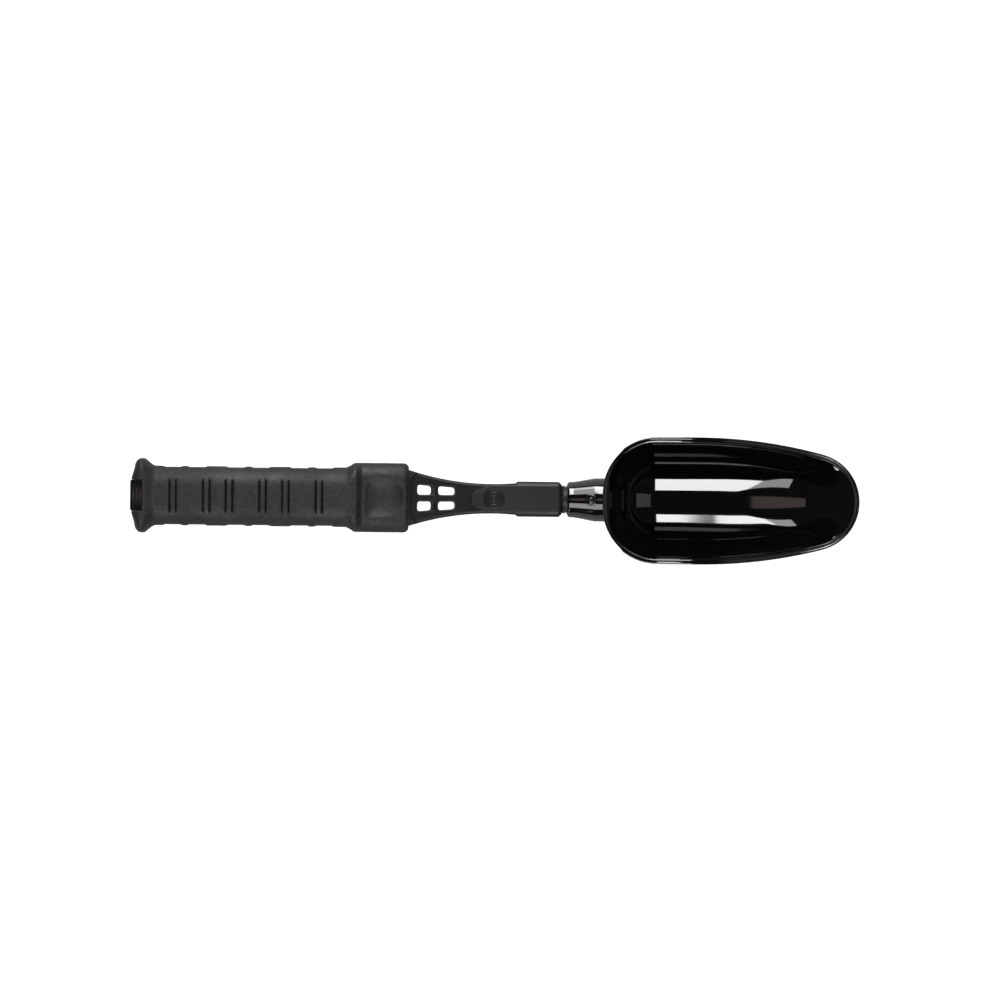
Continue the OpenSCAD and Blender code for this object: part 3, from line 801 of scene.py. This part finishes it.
def makePlug():
    # a gloss tab with rounded edges and a sunk field on its end, and a round stem into the handle
    deselectAll()
    length = (plug["deep"] + plug["proud"]) * mm
    bpy.ops.mesh.primitive_cube_add(size=1, location=(buttX - plug["proud"] * mm + length / 2, 0, axisZ),
                                    scale=(length, 2 * plug["half"] * mm, plug["tall"] * mm))
    tab = startEdit("buttPlug")
    endX = buttX - plug["proud"] * mm
    pick(lambda e: all(v.co.x < endX + mm for v in e.verts), "EDGE")
    bpy.ops.mesh.bevel(offset=plug["round"] * mm, segments=5, affect="EDGES", profile=0.6)
    pick(lambda f: f.normal.x < -0.999 and f.calc_area() > 100 * mm * mm, "FACE")
    bpy.ops.mesh.inset(thickness=1.3 * mm, depth=0)
    bpy.ops.mesh.inset(thickness=0.35 * mm, depth=-0.5 * mm)
    bpy.ops.mesh.inset(thickness=3.6 * mm, depth=0)
    bpy.ops.mesh.inset(thickness=0.35 * mm, depth=0.35 * mm)
    # two finger lines across the top and the underside
    for x in (2.2, 3.0, 4.2, 5.0):
        bpy.ops.mesh.select_all(action="SELECT")
        bpy.ops.mesh.bisect(plane_co=(buttX + x * mm, 0, 0), plane_no=(1, 0, 0))
    lines = [buttX + x * mm for x in (2.6, 4.6)]
    pick(lambda f: abs(f.normal.z) > 0.9
         and any(abs(f.calc_center_median().x - x) < 0.3 * mm for x in lines), "FACE")
    bpy.ops.mesh.inset(thickness=0.12 * mm, depth=-0.35 * mm)
    bpy.ops.object.mode_set(mode="OBJECT")
    addModifier(tab, "BEVEL", width=0.15 * mm, segments=2, limit_method="ANGLE", angle_limit=math.radians(35))
    points = [(6.0, 0), (6.0, 7.2), (6.9, 7.44), (8.5, 7.44), (8.7, 7.1), (9.6, 7.1), (9.8, 7.44), (12, 7.44),
              (12.2, 7.1), (13.1, 7.1), (13.3, 7.44), (19.4, 7.44), (20.6, 6.6), (20.8, 0)]
    stem = turned("stem", [(buttX + x * mm, r * mm) for x, r in points], 64)
    return joinPieces([tab, stem], "buttPlug")


buttPlug = makePlug()
smooth(buttPlug, 40)
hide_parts("butt_plug")
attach(buttPlug, "handle")


print("stud and insert")
stud = {"crest": 4.7025 * mm, "depth": 0.62 * mm, "pitch": 1.27 * mm, "engaged": 11.43 * mm}


def makeStud():
    endX, rootX = jointX - stud["engaged"], mouthX + 2 * mm
    crest, pitch = stud["crest"], stud["pitch"]
    deselectAll()
    # one turn of the thread's outline, wound along the axis
    bpy.ops.mesh.primitive_plane_add(size=mm, location=(endX - 2 * pitch, 0, axisZ + crest - stud["depth"]))
    thread = startEdit("threadStud")
    bpy.ops.mesh.select_all(action="SELECT")
    bpy.ops.mesh.merge(type="CENTER")
    for dx, dr in ((0.12, 0), (0.40, 1), (0.09, 0), (0.13, 0), (0.40, -1)):
        extrudePoint(dx * pitch / 1.14, dr * stud["depth"])
    turns = int((rootX - endX) / pitch) + 4
    bpy.ops.object.mode_set(mode="OBJECT")
    thread.data.transform(Matrix.Translation((0, 0, -axisZ)))
    addModifier(thread, "SCREW", axis="X", angle=math.tau * turns, steps=48 * turns, render_steps=48 * turns,
                screw_offset=pitch * turns, use_merge_vertices=False)
    thread.data.transform(Matrix.Translation((0, 0, axisZ)))
    deselectAll()
    bpy.context.view_layer.objects.active = thread
    thread.select_set(True)
    bpy.ops.object.mode_set(mode="EDIT")
    mergeDoubles()
    fillHoles()
    for x, outer in ((endX, False), (rootX + 0.8 * mm, True)):
        bpy.ops.mesh.select_all(action="SELECT")
        bpy.ops.mesh.bisect(plane_co=(x, 0, 0), plane_no=(1, 0, 0), use_fill=True,
                            clear_inner=not outer, clear_outer=outer)
    mergeDoubles()
    fillHoles()
    # the free end is chamfered
    mesh = bmesh.from_edit_mesh(thread.data)
    for v in mesh.verts:
        far = math.hypot(v.co.y, v.co.z - axisZ)
        allowed = 3.75 * mm + (v.co.x - endX) * 0.9
        if far > allowed:
            v.co.y *= allowed / far
            v.co.z = axisZ + (v.co.z - axisZ) * allowed / far
    bmesh.update_edit_mesh(thread.data)
    facesOut()
    bpy.ops.object.mode_set(mode="OBJECT")
    points = [(0, 0), (0, 5.9), (0.3, 6.25)]
    for start in (14 / 3 - 0.8, 28 / 3 - 0.8):
        points += [(start, 6.25), (start + 0.1, 5.65), (start + 1.5, 5.65), (start + 1.6, 6.25)]
    points += [(13.6, 6.25), (13.95, 5.9), (13.95, 0)]
    root = turned("root", [(rootX + x * mm, r * mm) for x, r in points], 64)
    return joinPieces([thread, root], "threadStud")


threadStud = makeStud()
smooth(threadStud, 30)
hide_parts("thread_stud")
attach(threadStud, "scoop")


def makeInsert():
    # a flange, a grooved body and a threaded bore
    points = [(0, 5.4), (0, 7.3), (-0.15, 7.6), (-1.05, 7.66), (-1.2, 7.4), (-1.2, 6.66)]
    for start in range(2, 13, 2):
        points += [(-start, 6.66), (-start - 0.2, 6.35), (-start - 0.9, 6.35), (-start - 1.1, 6.66)]
    points += [(-13.7, 6.66), (-13.93, 6.4), (-13.93, 5.3)]
    x = -13.6
    while x < -1.3:
        points += [(x, 4.78), (x + 0.15, 4.78), (x + 0.55, 5.35), (x + 0.72, 5.35)]
        x += 1.27
    points += [(-0.75, 4.78), (-0.6, 4.8), (0, 5.4)]
    return turned("noseInsert", [(jointX + a * mm, r * mm) for a, r in points], 72)


noseInsert = makeInsert()
smooth(noseInsert, 30)
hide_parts("nose_insert")
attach(noseInsert, "handle")


print("finishes")


def makeGroup(name, inputs, outputs):
    group = bpy.data.node_groups.new(name, "ShaderNodeTree")
    for label, kind, value in inputs:
        socket = group.interface.new_socket(name=label, in_out="INPUT", socket_type=kind)
        socket.default_value = value
    for label, kind in outputs:
        group.interface.new_socket(name=label, in_out="OUTPUT", socket_type=kind)
    return group, group.nodes.new("NodeGroupInput"), group.nodes.new("NodeGroupOutput")


def node(tree, kind, inputs=None, **settings):
    made = tree.nodes.new(kind)
    for key, value in settings.items():
        setattr(made, key, value)
    for socket, value in (inputs or {}).items():
        if isinstance(value, bpy.types.NodeSocket):
            tree.links.new(value, made.inputs[socket])
        else:
            made.inputs[socket].default_value = value
    return made


def objectPlace(tree):
    return node(tree, "ShaderNodeTexCoord").outputs["Object"]


# fine moulded grain: height for a bump, and a light and dark tone
grainGroup, given, result = makeGroup(
    "mouldedGrain", [("Scale", "NodeSocketFloat", 1800.0), ("Softness", "NodeSocketFloat", 0.5)],
    [("Height", "NodeSocketFloat"), ("Tone", "NodeSocketFloat")])
place, scale = objectPlace(grainGroup), given.outputs["Scale"]
specks = node(grainGroup, "ShaderNodeTexNoise", {"Vector": place, "Scale": scale, "Detail": 3.0,
                                               "Roughness": given.outputs["Softness"]}).outputs["Fac"]
pits = node(grainGroup, "ShaderNodeTexVoronoi", {"Vector": place, "Scale": scale}).outputs["Distance"]
both = node(grainGroup, "ShaderNodeMath", {0: specks, 1: pits}, operation="ADD")
grainGroup.links.new(both.outputs[0], result.inputs["Height"])
broad = node(grainGroup, "ShaderNodeTexNoise", {"Vector": place, "Scale": 420.0, "Detail": 4.0}).outputs["Fac"]
tone = node(grainGroup, "ShaderNodeMath", {0: specks, 1: broad}, operation="MULTIPLY")
spread = node(grainGroup, "ShaderNodeMapRange", {"Value": tone.outputs[0], "From Min": 0.14, "From Max": 0.36})
grainGroup.links.new(spread.outputs["Result"], result.inputs["Tone"])

# slow clouds, from handling and from how the plastic flowed
cloudGroup, given, result = makeGroup(
    "slowClouds", [("Scale", "NodeSocketFloat", 30.0), ("Low", "NodeSocketFloat", 0.4),
                   ("High", "NodeSocketFloat", 0.6)], [("Mask", "NodeSocketFloat")])
clouds = node(cloudGroup, "ShaderNodeTexNoise", {
    "Vector": objectPlace(cloudGroup), "Scale": given.outputs["Scale"],
    "Detail": 5.0, "Roughness": 0.55, "Distortion": 0.6})
spread = node(cloudGroup, "ShaderNodeMapRange", {
    "Value": clouds.outputs["Fac"], "From Min": given.outputs["Low"], "From Max": given.outputs["High"]})
cloudGroup.links.new(spread.outputs["Result"], result.inputs["Mask"])

# edge wear and painted edge highlight: convex places, broken up by noise
wearAndSheenGroup, given, result = makeGroup(
    "rubbedEdgesAndEdgeSheen", [("From", "NodeSocketFloat", 0.52), ("To", "NodeSocketFloat", 0.6)],
    [("Mask", "NodeSocketFloat")])
edges = node(wearAndSheenGroup, "ShaderNodeMapRange", {
    "Value": node(wearAndSheenGroup, "ShaderNodeNewGeometry").outputs["Pointiness"],
    "From Min": given.outputs["From"], "From Max": given.outputs["To"]}).outputs["Result"]
breaks = node(wearAndSheenGroup, "ShaderNodeTexNoise", {
    "Vector": objectPlace(wearAndSheenGroup), "Scale": 260.0, "Detail": 4.0})
sharper = node(wearAndSheenGroup, "ShaderNodeMapRange", {
    "Value": breaks.outputs["Fac"], "From Min": 0.35, "From Max": 0.65}).outputs["Result"]
wornAndSheen = node(wearAndSheenGroup, "ShaderNodeMath", {0: edges, 1: sharper}, operation="MULTIPLY")
wearAndSheenGroup.links.new(wornAndSheen.outputs[0], result.inputs["Mask"])


def blendColours(tree, mask, dark, light):
    return node(tree, "ShaderNodeMix", {0: mask, 6: dark, 7: light}, data_type="RGBA").outputs[2]


def blendValues(tree, mask, low, high):
    return node(tree, "ShaderNodeMapRange", {"Value": mask, "To Min": low, "To Max": high}).outputs["Result"]


def makeFinish(name, dark, light, wornAndSheen, roughness, grain, bump, wearAndSheenRange=(0.53, 0.62), clouds=40.0, **shaderValues):
    # dark and light are mixed by the grain's tone, the edge colour shows on convex edges as wear and as a painted
    # edge highlight, roughness drifts with the clouds
    finish = bpy.data.materials.new(name)
    finish.use_nodes = True
    tree = finish.node_tree
    shader = tree.nodes["Principled BSDF"]
    grainNode = node(tree, "ShaderNodeGroup", node_tree=grainGroup)
    grainNode.inputs["Scale"].default_value = grain
    cloudNode = node(tree, "ShaderNodeGroup", node_tree=cloudGroup)
    cloudNode.inputs["Scale"].default_value = clouds
    wearAndSheenNode = node(tree, "ShaderNodeGroup", node_tree=wearAndSheenGroup)
    wearAndSheenNode.inputs["From"].default_value, wearAndSheenNode.inputs["To"].default_value = wearAndSheenRange
    base = blendColours(tree, grainNode.outputs["Tone"], dark, light)
    # convex edges take the edge colour: partly wear, partly a painted edge highlight
    tree.links.new(blendColours(tree, wearAndSheenNode.outputs["Mask"], base, wornAndSheen), shader.inputs["Base Color"])
    tree.links.new(blendValues(tree, cloudNode.outputs["Mask"], *roughness), shader.inputs["Roughness"])
    bumpNode = node(tree, "ShaderNodeBump", {
        "Height": grainNode.outputs["Height"], "Strength": bump[0], "Distance": bump[1] * mm})
    tree.links.new(bumpNode.outputs["Normal"], shader.inputs["Normal"])
    for socket, value in shaderValues.items():
        shader.inputs[socket.replace("_", " ")].default_value = value
    return finish


glossShell = makeFinish(
    "glossShellBlack", (0.0007, 0.0006, 0.0009, 1), (0.0013, 0.0011, 0.0015, 1), (0.006, 0.0055, 0.006, 1),
    (0.03, 0.07), 260, (0.02, 0.05), clouds=22.0)
mottledRim = makeFinish(
    "mottledRimBlack", (0.009, 0.0083, 0.0086, 1), (0.04, 0.0375, 0.038, 1), (0.05, 0.047, 0.047, 1),
    (0.48, 0.62), 1000, (0.9, 0.25), Specular_IOR_Level=0.4)
gripRubber = makeFinish(
    "charcoalRubber", (0.003, 0.0028, 0.0035, 1), (0.0114, 0.0107, 0.012, 1), (0.018, 0.017, 0.018, 1),
    (0.47, 0.6), 1300, (0.75, 0.2), Specular_IOR_Level=0.24)
# near-black finish for the groove floors: painted shade in the grooves
paintedGrooveShade = makeFinish(
    "paintedGrooveShade", (0.0003, 0.0003, 0.0004, 1), (0.001, 0.001, 0.0011, 1), (0.002, 0.002, 0.002, 1),
    (0.7, 0.8), 1500, (0.4, 0.12), Specular_IOR_Level=0.04)
corePlastic = makeFinish(
    "satinCorePlastic", (0.0018, 0.0016, 0.0022, 1), (0.004, 0.0037, 0.0045, 1), (0.012, 0.0115, 0.0125, 1),
    (0.4, 0.5), 2600, (0.25, 0.08), Specular_IOR_Level=0.17)
badgePlastic = makeFinish(
    "badgePlastic", (0.003, 0.003, 0.0034, 1), (0.005, 0.005, 0.0056, 1), (0.02, 0.02, 0.021, 1),
    (0.34, 0.45), 2600, (0.15, 0.06), Specular_IOR_Level=0.2)
plugPlastic = makeFinish(
    "plugGloss", (0.002, 0.002, 0.0022, 1), (0.0035, 0.0035, 0.0038, 1), (0.01, 0.01, 0.01, 1),
    (0.14, 0.24), 900, (0.06, 0.06))
washerRubber = makeFinish(
    "washerRubber", (0.003, 0.003, 0.003, 1), (0.006, 0.006, 0.006, 1), (0.012, 0.012, 0.012, 1),
    (0.5, 0.65), 2200, (0.3, 0.08), Specular_IOR_Level=0.2)
studSteel = makeFinish(
    "studSteel", (0.42, 0.41, 0.39, 1), (0.6, 0.59, 0.56, 1), (0.75, 0.74, 0.71, 1),
    (0.24, 0.4), 1800, (0.1, 0.04), Metallic=1.0)
blackMetal = makeFinish(
    "blackenedCollar", (0.03, 0.029, 0.032, 1), (0.05, 0.049, 0.053, 1), (0.12, 0.12, 0.12, 1),
    (0.3, 0.42), 2000, (0.12, 0.05), Metallic=0.8)
brass = makeFinish(
    "brassInsert", (0.5, 0.34, 0.12, 1), (0.66, 0.47, 0.19, 1), (0.78, 0.6, 0.3, 1),
    (0.25, 0.4), 1800, (0.1, 0.04), Metallic=1.0)


def paintRaisedHighlight(finish, height, amount):
    # what stands proud of the neck's sunk panels, above and below, is mixed towards a lighter grey: a painted
    # highlight
    tree = finish.node_tree
    shader = tree.nodes["Principled BSDF"]
    base = shader.inputs["Base Color"].links[0].from_socket
    place = node(tree, "ShaderNodeTexCoord")
    split = node(tree, "ShaderNodeSeparateXYZ", {0: place.outputs["Object"]})
    above = node(tree, "ShaderNodeMath", {0: split.outputs["Z"], 1: axisZ}, operation="SUBTRACT")
    away = node(tree, "ShaderNodeMath", {0: above.outputs[0]}, operation="ABSOLUTE")
    mask = node(tree, "ShaderNodeMapRange", {
        "Value": away.outputs[0], "From Min": height, "From Max": height + 0.3 * mm}).outputs["Result"]
    paintedHighlight = node(tree, "ShaderNodeMix", {0: amount, 6: base, 7: (0.06, 0.059, 0.062, 1)}, data_type="RGBA")
    tree.links.new(blendColours(tree, mask, base, paintedHighlight.outputs[2]), shader.inputs["Base Color"])


# painted highlight on the land, nose and gussets of the core
paintRaisedHighlight(corePlastic, core["neckHeight"] / 2 + 0.15 * mm, 0.12)


def paint(piece, *finishes):
    for finish in finishes:
        piece.data.materials.append(finish)


# the join with the socket drops the slots of the rim's faces, so the whole shell shows the gloss
paint(scoopShell, glossShell, mottledRim)
paint(gripSleeve, gripRubber, paintedGrooveShade)
for piece, finish in ((handleCore, corePlastic), (badgeDisc, badgePlastic),
                      (buttPlug, plugPlastic), (sealWasher, washerRubber), (threadStud, studSteel),
                      (studCollar, blackMetal), (noseInsert, brass)):
    paint(piece, finish)


print("studio")
studio = {
    "frame": 0.6, "distance": 6.0, "roll": 0.6,      # metres across the view, camera height, degrees
    "aimX": 3.06 * mm, "aimY": -0.66 * mm,
    "floor": 6.0,
}


def makeFloor():
    deselectAll()
    bpy.ops.mesh.primitive_plane_add(size=studio["floor"], location=(0, 0, -0.15 * mm))
    floor = startEdit("studioFloor")
    bpy.ops.object.mode_set(mode="OBJECT")
    finish = bpy.data.materials.new("paleFloor")
    finish.use_nodes = True
    tree = finish.node_tree
    clouds = node(tree, "ShaderNodeGroup", node_tree=cloudGroup)
    clouds.inputs["Scale"].default_value = 3.0
    shader = tree.nodes["Principled BSDF"]
    tone = blendColours(tree, clouds.outputs["Mask"], (0.4, 0.4, 0.4, 1), (0.42, 0.42, 0.42, 1))
    tree.links.new(tone, shader.inputs["Base Color"])
    shader.inputs["Roughness"].default_value = 0.9
    # the floor is overexposed for the camera only, so that it doesn't wash out the gloss
    shader.inputs["Emission Color"].default_value = (1, 1, 1, 1)
    path = node(tree, "ShaderNodeLightPath")
    glow = node(tree, "ShaderNodeMath", {0: path.outputs["Is Camera Ray"], 1: 0.75}, operation="MULTIPLY")
    tree.links.new(glow.outputs[0], shader.inputs["Emission Strength"])
    floor.data.materials.append(finish)


def makeSoftbox(name, place, aim, size, power, colour):
    lamp = bpy.data.lights.new(name, "AREA")
    lamp.shape = "RECTANGLE"
    lamp.size, lamp.size_y = size
    lamp.energy = power
    lamp.color = colour
    box = bpy.data.objects.new(name, lamp)
    bpy.context.scene.collection.objects.link(box)
    back = (Vector(place) - Vector(aim)).normalized()
    across = Vector((1, 0, 0))
    turn = Matrix((across, back.cross(across), back)).transposed().to_4x4()
    box.matrix_world = Matrix.Translation(place) @ turn


makeFloor()
# each pair of softboxes is dimmer towards the butt
makeSoftbox("softboxNear", (0.1, -0.78, 1.0), (0.1, 0, 0), (0.24, 0.68), 10.9, (1, 0.985, 0.97))
makeSoftbox("softboxNearEdge", (-0.27, -0.78, 1.0), (-0.27, 0, 0), (0.5, 0.68), 6.4, (1, 0.985, 0.97))
makeSoftbox("softboxFar", (0.0, 1.0, 0.75), (0.0, 0, 0), (0.3, 0.9), 18.6, (0.985, 0.99, 1))
makeSoftbox("softboxFarEdge", (-0.355, 1.0, 0.75), (-0.355, 0, 0), (0.41, 0.9), 7.8, (0.985, 0.99, 1))
makeSoftbox("softboxLow", (-0.18, 1.05, 0.34), (-0.18, 0, 0), (0.62, 0.26), 4.2, (0.985, 0.99, 1))
makeSoftbox("warmCard", (-0.42, 0.02, 1.1), (0.15, 0, 0), (0.7, 0.32), 0.62, (1, 0.82, 0.74))
makeSoftbox("greyCard", (1.0, 0.0, 0.9), (0.1, 0, 0), (1.3, 0.8), 1.9, (0.96, 0.97, 1))
makeSoftbox("softboxLowNear", (-0.45, -1.05, 0.34), (-0.45, 0, 0), (0.3, 0.26), 3.0, (1, 0.985, 0.97))

world = bpy.data.worlds.new("studioWorld")
bpy.context.scene.world = world
world.use_nodes = True
sky = world.node_tree
path = node(sky, "ShaderNodeLightPath")
sky.links.new(blendColours(sky, path.outputs["Is Camera Ray"], (0.05, 0.05, 0.055, 1), (0.93, 0.93, 0.93, 1)),
              sky.nodes["Background"].inputs["Color"])

camera = bpy.data.objects.new("camera", bpy.data.cameras.new("camera"))
bpy.context.scene.collection.objects.link(camera)
camera.location = (studio["aimX"], studio["aimY"], studio["distance"])
camera.rotation_euler = (0, 0, math.radians(studio["roll"]))
camera.data.angle = 2 * math.atan(studio["frame"] / 2 / (studio["distance"] - 26 * mm))
camera.data.clip_end = 20
bpy.context.scene.camera = camera
bpy.context.scene.view_settings.view_transform = "Standard"

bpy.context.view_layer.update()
for piece in (scoopShell, gripSleeve, handleCore, badgeDisc, buttPlug, sealWasher, threadStud, studCollar,
              noseInsert):
    print(piece.name, len(piece.data.polygons), "faces")
